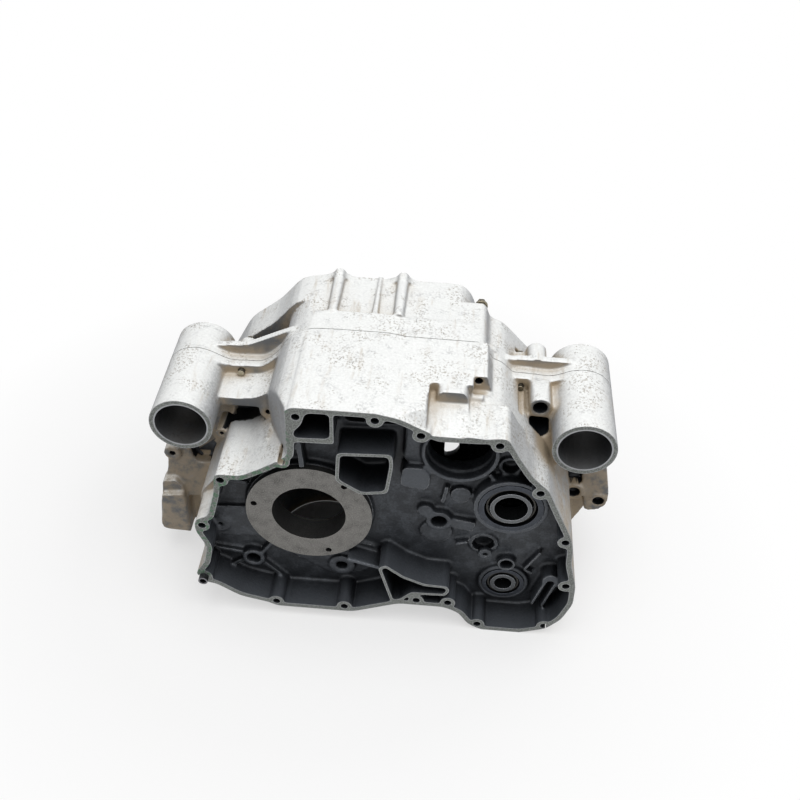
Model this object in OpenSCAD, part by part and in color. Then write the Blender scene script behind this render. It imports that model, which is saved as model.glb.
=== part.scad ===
// Crankcase of a single cylinder engine: two cast halves that meet on a vertical plane,
// stood upside down on the deck that carries the cylinder.
// X runs across the engine, Y along the crankshaft and Z up. The crankshaft's axis is the Y axis,
// and the halves meet at Y 0. The clutch side is the half at negative Y.

/* [Castings] */
// Thickness of the outer walls
wall = 5; // [4:0.5:6]
// Thickness of the floors that carry the bearings
web = 11; // [9:0.5:13]
// Distance from the joint to the face of the clutch cover
cover_reach = 107; // [104:1:112]
// Depth of the space under the clutch cover
cover_depth = 32; // [30:1:34]
// Distance from the joint to the face of the generator cover
rear_reach = 88; // [86:1:94]
// Depth of the space under the generator cover
rear_depth = 24; // [20:1:28]
// Height of the flat top above the crankshaft
top_z = 147; // [145:1:150]
// Depth of the cylinder deck below the crankshaft
deck_z = 126; // [126:1:132]
// Thickness of the joint gasket
gasket_t = 0.6; // [0.4:0.1:1]
// Thickness of the flanges beside the joint
joint_flange = 8; // [7:0.5:10]

/* [Crank] */
// Radius of the chamber that the crank webs turn in
crank_room_r = 78; // [74:1:80]
// Radius of the main bearing bores
main_bore_r = 34; // [32:0.5:35]
// Width of the carrier's rim outside its circle of screw holes
carrier_rim = 7; // [5:0.5:8]
// Thickness of the carrier's flange
carrier_t = 6; // [5:0.5:7]
// Thickness of the steel sleeves round the main bearings
sleeve_t = 4; // [3:0.5:5]
// Radius of the circle of three screw holes in the carrier
carrier_pitch_r = 51; // [50:0.5:52]
// Radius of the cylinder's hole in the deck
cylinder_r = 47; // [44:1:50]

/* [Shafts] */
// Distance of the mainshaft's axis from the crankshaft, along X
mainshaft_x = 182; // [181:1:183]
// Height of the mainshaft's axis
mainshaft_z = 28; // [27:1:30]
// Distance of the layshaft's axis from the crankshaft, along X
layshaft_x = 185; // [184:1:186]
// Height of the layshaft's axis
layshaft_z = -86; // [-88:1:-85]
// Distance of the starter bore's axis from the crankshaft, along X
starter_x = 133; // [132:1:134]
// Height of the starter bore's axis
starter_z = 88; // [87:1:89]
// Radius of the starter bore
starter_r = 28; // [26:0.5:29]
// Running gap round each ball
ball_gap = 0.3; // [0.2:0.05:0.4]

/* [Mounting tubes] */
// Distance of the left tube's axis from the crankshaft, along X
left_tube_x = -112; // [-114:1:-111]
// Height of the left tube's axis
left_tube_z = 87; // [86:1:89]
// Distance of the right tube's axis from the crankshaft, along X
right_tube_x = 239; // [238:1:241]
// Height of the right tube's axis
right_tube_z = 92; // [91:1:93]
// Outer radius of the tubes
tube_r = 28; // [27.5:0.25:28.5]
// Radius of the tubes' bores
tube_bore_r = 23; // [22:0.25:24]
// Length of the tubes in front of the joint
tube_front = 74; // [70:1:78]
// Length of the tubes behind the joint
tube_back = 38; // [34:1:42]

/* [Fasteners] */
// Radius of the threaded holes for the cover screws
cover_hole_r = 3; // [2.5:0.1:3.4]
// Depth of those holes
cover_hole_depth = 22; // [18:1:26]
// Radius of the bosses round them
cover_boss_r = 7.2; // [7:0.1:7.6]
// Radius of the shanks of the bolts that hold the halves together
case_bolt_r = 3; // [2.5:0.1:3.5]
// Outer radius of the hollow dowels
dowel_r = 4.5; // [4:0.1:5]
// How far the cover's dowel stands out of the face
dowel_stand = 6; // [4:0.5:8]

/* [Hidden] */
$fn = 48;
eps = 0.5;
face_y = -cover_reach;
floor_y = face_y + cover_depth;
room_y = floor_y + web;
rear_y = rear_reach;
rear_floor_y = rear_y - rear_depth;
rear_room_y = rear_floor_y - web;
split = gasket_t / 2;
main_seat_r = main_bore_r + sleeve_t;
main_boss = 7;
crank_seat_y = floor_y - main_boss;
carrier_y = crank_seat_y - carrier_t;
rear_seat_y = rear_floor_y + main_boss;
arm_front_y = -42;
block_front_y = -40;
lug_front_y = -22;
plateau_y = -59;
block_face_y = plateau_y - 11.5;
// The top is a little lower at the right, and again behind the step near the joint
right_top_z = top_z - 3.5;
rear_top_z = top_z - 4.5;
rear_step_y = 28;
ridge_z = top_z - 3;
ridge_t = 7;
ridge_back_y = 30;
wing_back_y = 18;
carrier_angles = [50, 170, 290];
carrier_hole_r = 3;
bore_step = 2;
starter_boss_h = 12;
carrier_r = carrier_pitch_r + carrier_rim;

// Outline of the clutch cover's face, counter-clockwise as the camera sees it
cover_points = [
    [-10, top_z - 3], [-12, 93], [-21, 85], [-35, 75], [-55, 63], [-78, 63], [-80, 40],
    [-88, 8], [-101, 2], [-102, -12], [-93, -34], [-97, -56], [-108, -74], [-100, -86],
    [-90, -87], [-67, -103], [-39, -110], [-32, -114], [42, -114], [86, -96], [130, -96],
    [144, -103], [154, -119], [167, -deck_z], [205, -deck_z], [229, -117], [242, -101],
    [250, -76], [249, -50], [241, -20], [240, 0], [236, 16], [222, 46], [210, 73], [196, 86],
    [182, 108], [170, 130], [150, 127], [114, 126], [100, 133], [81, 143], [61, top_z],
    [17, top_z]
];
// Threaded holes round the clutch cover's face
cover_screws = [
    [-4, 137], [61, 139], [99, 126], [164, 121], [203, 69], [232, 9], [240, -51], [227, -113],
    [163, -118], [133, -89], [103, -89], [34, -107], [-32, -107], [-95, -5], [-73, 56],
    [-18, 84]
];
// The hole with the hollow dowel
cover_dowel = [-100, -78];
// Outline of the casting between the clutch side's floor and the joint
core_points = [
    [-8, top_z - 1], [-24, 134], [-33, 120], [-34, 96], [-36, 76], [-55, 63], [-78, 63],
    [-82, 30], [-104, 0], [-106, -40], [-108, -74], [-98, -92], [-76, -106], [-74, -deck_z],
    [74, -deck_z], [80, -106], [130, -100], [150, -116], [167, -deck_z], [205, -deck_z],
    [232, -118], [246, -100], [252, -76], [249, -50], [241, -20], [240, 0], [236, 16],
    [222, 46], [210, 73], [196, 90], [172, 116], [164, 124], [153, 127], [149, 140],
    [144, right_top_z], [81, right_top_z], [63, top_z], [10, top_z]
];
// Outline of the thin flange that follows the joint over both arms
joint_points = [
    [-8, 145], [-28, 132], [-35, 119], [-43, 111], [-51, 104.5], [-82, 103.5], [-92.5, 109],
    [-104, 114.3], [-116, 115.2], [-127, 111], [-135, 101], [-139, 60], [-141, 20], [-148, 4],
    [-149, -22], [-158, -58], [-160, -92], [-128, -94], [-98, -92], [-60, -100], [60, -100],
    [130, -90], [220, -100], [246, -80], [256, -60], [263, -42], [274, -35], [281, -27], [280, -14], [273, 20],
    [268, 92], [256, 116], [239, 120.4], [227, 118.5], [218, 113.5], [209, 110.5],
    [190, 112], [172, 112.5], [161, 120], [151, 135], [144, right_top_z]
];
// Top of each arm between the tube and the body, on the clutch side of the joint
left_arm_points = [
    [-112, 84], [-96, 85], [-50, 85], [-32, 80], [-26, 116], [-40, 103], [-52, 96], [-70, 94],
    [-92, 95], [-104, 101], [-112, 106]
];
right_arm_points = [
    [160, 104], [198, 64], [214, 54], [232, 58], [246, 76], [226, 112],
    [214, 107], [204, 100], [188, 98], [178, 102], [168, 114]
];
// Where the left arm's sheet runs up on to the tube
arm_root_points = [[-100, 98], [-84, 96], [-84, 104.5], [-93, 108.5], [-100, 112.5]];
// The flat top in front of the joint, the plateau behind the slope and the raised block
flat_points = [
    [-11, 112], [103, 112], [103, right_top_z], [81, right_top_z], [63, top_z], [-11, top_z]
];
plateau_points = [
    [100, 118], [133, 118], [140, 138], [140, right_top_z], [100, right_top_z]
];
raised_points = [
    [110, 118], [135, 118], [136, 138], [132, right_top_z + 0.5], [114, right_top_z + 0.5],
    [109, 139]
];
// The face round the long bolt's hole beside them
bolt_face_points = [
    [138, 132], [146, 130], [152, 124], [157, 125], [152, 139], [147, right_top_z],
    [134, right_top_z]
];
// Height of the slope's lower edge, and where its raised part ends
slope_z = 126.5;
slope_x = 137;
// Shoulder between the flat top and the left arm, and the hollow under that arm
shoulder_points = [
    [-4, 86], [-2, top_z - 0.5], [-14, 143.5], [-24, 137], [-35, 119], [-42, 94], [-38, 78], [-22, 80]
];
shoulder_z = 76;
arm_hollow_points = [
    [-79, 54], [-66, 54], [-60, 58], [-48, 67], [-41, 74], [-41, 84], [-79, 84]
];
// The same tops on the generator side, where they stand higher
left_ridge_points = [
    [-112, 80], [-34, 80], [-20, 138], [-46, 125], [-65, 115], [-97, 112], [-112, 112]
];
right_ridge_points = [
    [150, 100], [205, 76], [236, 76], [238, 120], [218, 120.3], [190, 120.3], [168, 119],
    [154, 132]
];
// The webs behind those ridges
left_web_points = [[-112, 80], [-34, 80], [-30, 106], [-46, 103], [-112, 99]];
right_web_points = [
    [150, 100], [205, 76], [236, 76], [236, 105], [200, 108], [172, 110], [154, 126]
];
// Wings of the casting below the tubes
left_wing_points = [
    [-90, -10], [-119, -13], [-125, -5], [-127, 30], [-130, 66], [-138, 66], [-141, 20],
    [-148, 4], [-149, -22], [-158, -58], [-159, -92], [-128, -94], [-98, -92], [-90, -60]
];
right_wing_points = [
    [252, 68], [252, 0], [256, -16], [258, -36], [272, -34], [280, -27], [280, -14],
    [273, 20], [267, 68]
];
// Plain block at the left, and the pocket in the right arm
block_points = [[-157, -83], [-131, -82], [-130, -50], [-132, -40], [-154, -43]];
block_step_points = [[-155, -46], [-131, -46], [-133, -37], [-140, -28], [-153, -30]];
arm_pocket_points = [[191, 96], [192, 88], [201, 77], [210, 82], [209, 95]];
// Rooms inside the casting: for the gears, and for oil and breathing above the crank
gear_room_points = [
    [86, -30], [98, -88], [128, -88], [150, -106], [168, -116], [206, -116], [228, -110],
    [240, -98], [245, -76], [242, -50], [234, -18], [232, 0], [226, 18], [214, 43], [203, 66],
    [190, 82], [165, 106], [150, 114], [136, 119], [130, 127], [100, 127], [100, 60], [86, 40]
];
oil_room_points = [[-24, 112], [-10, 87], [90, 87], [90, 139], [4, 139], [-18, 126]];
// Trapezoid duct that stands up to the clutch cover's face
duct_points = [[29, 99.5], [27.5, 66], [50, 51], [73, 55], [77, 88], [76, 102]];
duct_deep_points = [[34, 90], [34, 82], [66, 82], [69, 96]];
// Pocket in the upper left corner of the face, and the window beside it
pocket_points = [[4, 142], [0, 128], [-6.5, 121], [-6.5, 113.5], [24, 115], [24, 142.5]];
window_points = [[32, 107], [80, 107], [86, 114], [86, 128], [76, 134], [56, 131], [32, 137]];
// Oil pocket beside the layshaft, under the scoop for the clutch
sector_points = [
    [66, -46], [79, -94], [88, -92], [99, -80], [130, -79], [134, -71], [131, -65],
    [110, -64], [90, -55], [73, -41]
];
// Raised pads on the clutch side's floor
left_shelf_points = [[-100, -44], [-86, -48], [-48, -46], [-48, -4], [-96, -8]];
lump_points = [[82, 48], [106, 44], [110, 58], [104, 71], [84, 71]];
panel_points = [[84, 72], [104, 72], [108, 126], [86, 132]];
sump_pad_points = [[-20, -70], [24, -96], [58, -84], [66, -50], [40, -44], [-10, -56]];
// Outline of the generator cover's face
rear_points = [
    [-10, rear_top_z], [-27, 138], [-48, 112], [-78, 88], [-98, 50], [-107, 5], [-102, -45],
    [-82, -82], [-50, -108], [-20, -118], [30, -118], [66, -104], [96, -80], [120, -46],
    [140, -10], [152, 40], [148, 92], [138, 124], [134, 133],
    [125, rear_top_z]
];
// Threaded holes round the generator cover's face
rear_screws = [
    [-22, 132], [-71, 86], [-96, 30], [-97, -35], [-65, -90], [-8, -111], [52, -103],
    [100, -65], [133, -8], [144, 52], [129, 122], [69.5, ridge_z], [9.5, ridge_z]
];
// Ridges that run forward from the screws on top: X, radius at the front and at the rear
top_ridges = [[9.5, 4.5, 5.7], [48, 3, 1.5], [69.5, 4.7, 5.7]];
flare_points = [
    [-20, rear_top_z - 1], [17, rear_top_z - 1], [10, rear_top_z + 1.5], [6, rear_top_z + 4],
    [3, ridge_z + 7], [-3, ridge_z + 7], [-6, rear_top_z + 4], [-11, rear_top_z + 1.5]
];
// Holes for the bolts that hold the halves together, and the lugs round them
short_bolts = [[-40, 81], [-70, 98], [183, 103], [-142.5, -2], [246, -14], [271, -24]];
blind_bolts = [[-148, -76]];
// Radii of the wide mouths of the holes in the two right lugs
lug_sinks = [6, 5.2];
long_bolts = [[144, 138], [-68, -116], [68, -116]];
lug_r = 8.5;
big_lug_r = 10;
lug_sink_depth = 9;
short_head_y = 32;
// Boss of the pin hole in the right arm, and the small lug beside the left tube
pin_boss = [200, 106];
pin_boss_r = 10;
pin_hole_r = 6.3;
pin_end_y = -20;
far_boss = [197, 112];
far_boss_r = 9.4;
far_boss_y = 34;
small_lug = [-84.5, 53];
small_lug_r = 5.5;
small_lug_hole_r = 2.2;
// Cylinder studs in the deck, from the crankshaft's axis
stud_x = 57;
stud_y = 48;
stud_r = 4.5;
stud_depth = 30;
short_tip_y = -12;
long_head_y = rear_floor_y - 3;
long_tip_y = -30;
blind_end_y = -14;
bolt_head_r = 4.6;
bolt_flange_r = 6;
bolt_head_h = 6;
bolt_flange_t = 1.5;
dowel_wall = 1.3;
dowel_depth = 10;
dowel_half = 6;
// Places of the two dowels between the halves
dowel_places = [[-130, -60], [262, 40]];
// Bosses on the clutch side's floor: X, Z, outer radius, hole radius, height above the floor
floor_bosses = [
    [119, -2, 11.7, 7.3, 9], [164.5, -42.6, 6.8, 2.3, 9], [185.5, -55, 8.6, 6, 9],
    [-56.5, -74, 11, 6.7, 9], [-85.5, -30, 9.5, 2, 7], [29, -76, 13, 5.5, 8],
    [178, 70, 11, 7.5, 4], [137, 32, 9.5, 0, 6], [162, -34, 14, 10, 3], [106, 9, 7.5, 0, 8],
    [117, -20, 15, 0, 5]
];
// Ribs on the clutch side's floor: start, end, thickness, height above the floor
floor_ribs = [
    [[-47, -66], [-37, -50], 4, 8], [[-66, -70], [-94, -66], 4, 6], [[-48, -82], [-28, -104], 4, 6],
    [[-66, -80], [-82, -92], 4, 6], [[36, -50], [70, -60], 4, 22], [[128, -4], [152, -8], 12, 7],
    [[124, 42], [121, 22], 4, 7], [[203, 62], [194, 50], 3.5, 8], [[136, -33], [147, -29], 3, 8],
    [[216, -36], [203, -62], 3, 8], [[203, -62], [211, -67], 3, 8], [[160, 62], [166, 54], 4, 8],
    [[-8, 108], [-4, 60], 5, 14], [[-96, 30], [-56, 26], 4, 5]
];
// The channel at the lower right of that floor
channel = [[229, -66], [219, -103]];
channel_height = 16;

// A ball bearing: shaft radius, inner race, outer race's inside, seat radius, width, ball count
main_bearing = [15, 18.7, 24, 29, 16, 9];
lay_bearing = [8.5, 12.3, 16.3, 20, 12, 8];
front_main_y = floor_y - 14;
front_lay_y = floor_y - 5.5;
rear_main_y = rear_room_y + 1;
rear_lay_y = rear_room_y + 3;
// Bosses for the stator round the crank bore of the generator side, and the ribs between them
stator_r = 62;
stator_boss_r = 7;
rear_rib_end = 88;
seal_t = 7;
seal_gap = 0.3;
seal_r = 9.5;
seal_y = rear_lay_y + lay_bearing[4] + seal_gap;
bearing_boss = 4.5;
cage_t = 1.6;
cage_edge = 1;

function unit(v) = v / norm(v);
function turn(v) = [-v[1], v[0]];
function inset_corner(a, b, c, d) =
    let (m = turn(unit(b - a)), n = turn(unit(c - b))) b + d * (m + n) / (1 + m * n);
// A polygon moved inwards by d, for points that run counter-clockwise
function inset(p, d) =
    [for (i = [0:len(p) - 1])
        inset_corner(p[(i + len(p) - 1) % len(p)], p[i], p[(i + 1) % len(p)], d)];
function corner_reach(a, b, c, r) = min(r, 0.45 * norm(b - a), 0.45 * norm(c - b));
function bend(a, b, c, s) = (1 - s) * (1 - s) * a + 2 * s * (1 - s) * b + s * s * c;
// A polygon with its corners rounded by curves that start r from each corner
function rounded(p, r, steps = 2) =
    [for (i = [0:len(p) - 1])
        let (a = p[(i + len(p) - 1) % len(p)], b = p[i], c = p[(i + 1) % len(p)],
             t = corner_reach(a, b, c, r))
        for (k = [0:steps]) bend(b + t * unit(a - b), b, b + t * unit(c - b), k / steps)];

// A profile in X and Z, drawn out along the crankshaft
module slab(points, y0, y1) {
    translate([0, y1, 0]) rotate([90, 0, 0]) linear_extrude(y1 - y0) polygon(points);
}
module rod(x, z, r, y0, y1) {
    translate([x, y1, z]) rotate([90, 0, 0]) cylinder(r = r, h = y1 - y0);
}
module bar(a, b, t, y0, y1) {
    d = b - a;
    translate([a[0], y0, a[1]]) rotate([0, -atan2(d[1], d[0]), 0])
        translate([0, 0, -t / 2]) cube([norm(d), y1 - y0, t]);
}
// Everything on the far side of the plane through p with normal n, within reach
module beyond(p, n, reach = 90) {
    translate(p) rotate([0, acos(n[2] / norm(n)), atan2(n[1], n[0])])
        translate([-reach, -reach, 0]) cube([2 * reach, 2 * reach, reach]);
}

// What both halves lose: the rooms, the cylinder's hole and its stud holes
module shared_rooms(y0, y1) {
    rod(0, 0, crank_room_r, y0, y1);
    slab(rounded(gear_room_points, 8), y0, y1);
    slab(rounded(oil_room_points, 8), max(y0, room_y + 6), y1);
    translate([0, 0, -deck_z - eps]) cylinder(r = cylinder_r, h = deck_z - crank_room_r / 2);
    for (x = [-1, 1], y = [-1, 1]) translate([x * stud_x, y * stud_y, -deck_z - eps])
        cylinder(r = stud_r, h = stud_depth);
}

module clutch_side_case() {
    color("lightgray") difference() {
        union() {
            difference() {
                union() {
                    slab(rounded(core_points, 6), floor_y + 3, -split);
                    slab(rounded(shoulder_points, 6), face_y, -split);
                }
                beyond([-12, face_y, shoulder_z + 90], [-69, -30, 0], 90);
                intersection() {
                    slab(arm_hollow_points, arm_front_y, -joint_flange - 1);
                    beyond([-73, -36, 60], [-0.28, 1, 0], 90);
                }
                translate([103, floor_y, slope_z]) cube([60, plateau_y - floor_y, 30]);
                translate([slope_x, floor_y, slope_z + 2]) cube([30, -47 - floor_y, 30]);
            }
            slab(rounded(joint_points, 5), -joint_flange, -split);
            difference() {
                slab(rounded(cover_points, 5), face_y, room_y);
                translate([107, plateau_y - 60, 127]) cube([41, 60, 40]);
            }
            clutch_side_top();
            clutch_side_arms();
            clutch_side_floor_bosses_behind();
        }
        cover_space();
        shared_rooms(room_y, eps);
        clutch_side_bores();
        clutch_side_fastener_holes();
    }
}
// The flat top, the raised block and the bolt's boss on it, and the slope down to the face
module clutch_side_top() {
    difference() {
        slab(rounded(flat_points, 5), face_y, -10);
        beyond([61, face_y, top_z], [0.30, -0.57, 0.77], 70);
    }
    slab(rounded(plateau_points, 4), plateau_y, -40);
    slab(rounded(raised_points, 4), block_face_y, -50);
    difference() {
        rod(long_bolts[0][0], long_bolts[0][1], lug_r, -47, -split);
        translate([130, -60, right_top_z]) cube([30, 60, 10]);
    }
    slab(rounded(bolt_face_points, 2), -47, -joint_flange);
    translate([slope_x - 1, -58, slope_z + 1]) rotate([0, 90, 0]) cylinder(r = 4.5, h = 13);
    difference() {
        slab([[101, 116], [slope_x, 116], [slope_x, top_z], [101, top_z]],
             face_y, plateau_y + eps);
        beyond([110, face_y, slope_z], [0, -0.16, 1], 90);
    }
    slab([[slope_x - 1, 116], [150, 116], [150, slope_z + 1], [slope_x - 1, slope_z + 2]],
         face_y, -46);
}
module clutch_side_arms() {
    rod(left_tube_x, left_tube_z, tube_r, -tube_front, -split);
    rod(right_tube_x, right_tube_z, tube_r, -tube_front, -split);
    slab(rounded(left_arm_points, 5), arm_front_y, -split);
    slab(rounded(arm_root_points, 2), -10, -split);
    difference() {
        slab(rounded(right_arm_points, 4), arm_front_y - 24, -split);
        beyond([0, arm_front_y + 2, 96], [0, -1, 0.42], 300);
    }
    difference() {
        slab(rounded(left_wing_points, 6), block_front_y, -split);
        beyond([-120, -17, 0], [0, -1, 0.27], 160);
        translate([-130, block_front_y - eps, -100]) cube([40, 20, 50]);
    }
    difference() {
        slab(rounded(right_wing_points, 5), -30, -split);
        beyond([260, -17, 0], [0, -1, 0.2], 160);
    }
    slab(rounded(block_points, 2), block_front_y, -28);
    slab(rounded(block_step_points, 2), -33, -18);
    difference() {
        rod(pin_boss[0], pin_boss[1], pin_boss_r, arm_front_y + 2, -joint_flange);
        beyond([pin_boss[0], -joint_flange, pin_boss[1] + 6.5], [0, 0.14, 1], 60);
    }
    rod(short_bolts[0][0], short_bolts[0][1], lug_r, arm_front_y - 1, -split);
    rod(short_bolts[3][0], short_bolts[3][1], lug_r, lug_front_y, -split);
    rod(short_bolts[4][0], short_bolts[4][1], big_lug_r, lug_front_y, -split);
    rod(short_bolts[5][0], short_bolts[5][1], lug_r, lug_front_y, -split);
    rod(small_lug[0], small_lug[1], small_lug_r, -46, -20);
}
module clutch_side_floor_bosses_behind() {
    rod(mainshaft_x, mainshaft_z, main_bearing[3] + bearing_boss, floor_y, room_y + 4);
    rod(layshaft_x, layshaft_z, lay_bearing[3] + bearing_boss, floor_y, room_y + 4);
}
// The space under the clutch cover, with what stands in it left over
module cover_space() {
    difference() {
        slab(rounded(inset(cover_points, wall), 5), face_y - eps, floor_y);
        cover_bosses();
    }
    slab(rounded(inset(duct_points, 3), 3), face_y - eps, floor_y + 3);
    slab(duct_deep_points, floor_y, -30);
    slab(rounded(pocket_points, 4), face_y - eps, -30);
    slab(rounded(window_points, 6), floor_y - eps, -50);
    slab(rounded(inset(sector_points, 2.6), 2), face_y - eps, floor_y + 2);
    bar(channel[0], channel[1], 7, floor_y - channel_height - eps, floor_y - 3);
}
module cover_bosses() {
    for (s = cover_screws) rod(s[0], s[1], cover_boss_r, face_y, floor_y + eps);
    rod(cover_dowel[0], cover_dowel[1], cover_boss_r + 1, face_y, floor_y + eps);
    rod(0, 0, carrier_r + 1, crank_seat_y, floor_y + eps);
    rod(mainshaft_x, mainshaft_z, main_bearing[3] + bearing_boss, front_main_y, floor_y + eps);
    rod(layshaft_x, layshaft_z, lay_bearing[3] + bearing_boss, front_lay_y, floor_y + eps);
    rod(starter_x, starter_z, starter_r + 6, floor_y - starter_boss_h, floor_y + eps);
    slab(rounded(duct_points, 4), face_y, floor_y + eps);
    slab([[-12, 108.5], [27, 109.6], [27, 144], [-12, 144]], face_y, floor_y + eps);
    slab(rounded(sector_points, 2), face_y, floor_y + eps);
    slab(rounded(left_shelf_points, 5), floor_y - 5, floor_y + eps);
    slab(rounded(lump_points, 5), floor_y - 15, floor_y + eps);
    slab(rounded(panel_points, 5), floor_y - 8, floor_y + eps);
    slab(rounded(sump_pad_points, 8), floor_y - 3, floor_y + eps);
    for (b = floor_bosses) rod(b[0], b[1], b[2], floor_y - b[4], floor_y + eps);
    for (r = floor_ribs) bar(r[0], r[1], r[2], floor_y - r[3], floor_y + eps);
    bar(channel[0], channel[1], 13, floor_y - channel_height, floor_y + eps);
    rod(channel[0][0], channel[0][1], 9, floor_y - channel_height, floor_y + eps);
}
module clutch_side_bores() {
    rod(0, 0, main_seat_r, face_y, room_y + eps);
    rod(starter_x, starter_z, starter_r, face_y, room_y + eps);
    rod(starter_x, starter_z, starter_r + bore_step, floor_y - starter_boss_h - eps, floor_y - 2);
    rod(mainshaft_x, mainshaft_z, main_bearing[3], front_main_y - eps, front_main_y + main_bearing[4]);
    rod(mainshaft_x, mainshaft_z, main_bearing[2], face_y, room_y + 5);
    rod(layshaft_x, layshaft_z, lay_bearing[3], front_lay_y - eps, front_lay_y + lay_bearing[4]);
    rod(layshaft_x, layshaft_z, lay_bearing[2], face_y, room_y + 5);
    rod(left_tube_x, left_tube_z, tube_bore_r, -tube_front - eps, eps);
    rod(right_tube_x, right_tube_z, tube_bore_r, -tube_front - eps, eps);
    rod(pin_boss[0], pin_boss[1], pin_hole_r, arm_front_y + 2 - eps, pin_end_y);
    rod(small_lug[0], small_lug[1], small_lug_hole_r, -46 - eps, -32);
    for (b = floor_bosses) if (b[3] > 0) rod(b[0], b[1], b[3], floor_y - b[4] - eps, floor_y + 6);
    slab(arm_pocket_points, arm_front_y - 6, -14);
}
module clutch_side_fastener_holes() {
    for (s = cover_screws)
        rod(s[0], s[1], cover_hole_r, face_y - eps, face_y + cover_hole_depth);
    rod(cover_dowel[0], cover_dowel[1], dowel_r, face_y - eps, face_y + dowel_depth);
    for (a = carrier_angles) rod(carrier_pitch_r * cos(a), carrier_pitch_r * sin(a), carrier_hole_r,
        crank_seat_y - eps, room_y - 2);
    for (s = short_bolts) rod(s[0], s[1], case_bolt_r, arm_front_y - 3, eps);
    for (i = [0:1]) rod(short_bolts[4 + i][0], short_bolts[4 + i][1], lug_sinks[i],
        lug_front_y - eps, lug_front_y + lug_sink_depth);
    for (s = blind_bolts) rod(s[0], s[1], case_bolt_r, blind_end_y, eps);
    rod(long_bolts[0][0], long_bolts[0][1], case_bolt_r + 0.5, -48, -20);
    for (s = long_bolts) rod(s[0], s[1], case_bolt_r, long_tip_y - 2, eps);
    for (s = dowel_places) rod(s[0], s[1], dowel_r, -dowel_half, eps);
}

module generator_side_case() {
    color("gainsboro") difference() {
        union() {
            difference() {
                slab(rounded(core_points, 6), split, rear_floor_y - 3);
                translate([-40, rear_step_y, rear_top_z]) cube([200, 60, 20]);
            }
            slab(rounded(joint_points, 5), split, joint_flange + 2);
            slab(rounded(rear_points, 8), rear_room_y - 4, rear_y);
            for (r = top_ridges) translate([r[0], rear_y, ridge_z]) rotate([90, 0, 0])
                cylinder(r1 = r[2], r2 = r[1], h = rear_y - rear_step_y + 2);
            for (r = [top_ridges[0], top_ridges[2]]) translate([r[0], 0, 0])
                slab(flare_points, rear_y - 8, rear_y);
            generator_side_arms();
            rod(mainshaft_x, mainshaft_z, main_bearing[3] + bearing_boss, rear_room_y - 4,
                rear_main_y + main_bearing[4] + 3);
            rod(layshaft_x, layshaft_z, lay_bearing[3] + bearing_boss, rear_room_y - 4,
                seal_y + seal_t);
        }
        rear_space();
        shared_rooms(-eps, rear_room_y);
        generator_side_bores();
    }
}
module generator_side_arms() {
    rod(left_tube_x, left_tube_z, tube_r, split, tube_back);
    rod(right_tube_x, right_tube_z, tube_r, split, tube_back);
    slab(rounded(left_ridge_points, 6), joint_flange + 1, joint_flange + 1 + ridge_t);
    slab(rounded(right_ridge_points, 6), joint_flange + 1, joint_flange + 1 + ridge_t);
    slab(rounded(left_web_points, 4), joint_flange + 1, ridge_back_y);
    slab(rounded(right_web_points, 4), joint_flange + 1, ridge_back_y - 2);
    slab(rounded(left_wing_points, 6), split, wing_back_y + 6);
    slab(rounded(right_wing_points, 5), split, wing_back_y);
    rod(far_boss[0], far_boss[1], far_boss_r, joint_flange + 1, far_boss_y);
    for (s = concat(short_bolts, blind_bolts))
        rod(s[0], s[1], lug_r, s[1] > 50 ? joint_flange + 1 : split, short_head_y);
}
module rear_space() {
    difference() {
        slab(rounded(inset(rear_points, wall), 8), rear_floor_y, rear_y + 7);
        for (s = rear_screws) rod(s[0], s[1], cover_boss_r, rear_floor_y - eps, rear_y);
        rod(0, 0, main_seat_r + 8, rear_floor_y - eps, rear_seat_y);
        for (a = [45, 135, 225, 315]) rod(stator_r * cos(a), stator_r * sin(a), stator_boss_r,
            rear_floor_y - eps, rear_y - 8);
        for (a = [0, 90, 180, 270]) rotate([0, a, 0])
            bar([main_seat_r + 2, 0], [rear_rib_end, 0], 5, rear_floor_y - eps, rear_floor_y + 9);
    }
    for (s = rear_screws) rod(s[0], s[1], cover_hole_r, rear_y - 20, rear_y + 7);
}
module generator_side_bores() {
    rod(0, 0, main_seat_r, rear_room_y - eps, rear_y);
    rod(mainshaft_x, mainshaft_z, main_bearing[3], rear_main_y - eps, rear_main_y + main_bearing[4]);
    rod(mainshaft_x, mainshaft_z, main_bearing[2], rear_room_y - 5, rear_main_y + eps);
    rod(layshaft_x, layshaft_z, lay_bearing[3], rear_lay_y, rear_y);
    rod(layshaft_x, layshaft_z, lay_bearing[2], rear_room_y - 5, rear_lay_y + eps);
    rod(left_tube_x, left_tube_z, tube_bore_r, -eps, tube_back + eps);
    rod(right_tube_x, right_tube_z, tube_bore_r, -eps, tube_back + eps);
    intersection() {
        rod(120, -36, 15, rear_room_y - eps, rear_y);
        translate([120, 0, -60]) cube([20, rear_y, 50]);
    }
    for (s = concat(short_bolts, blind_bolts)) {
        rod(s[0], s[1], case_bolt_r, -eps, short_head_y + eps);
        rod(s[0], s[1], bolt_flange_r + 1, short_head_y, short_head_y + bolt_head_h + 2);
    }
    for (s = long_bolts) rod(s[0], s[1], case_bolt_r, -eps, long_head_y + eps);
    for (s = dowel_places) rod(s[0], s[1], dowel_r, -eps, dowel_half);
}

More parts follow.
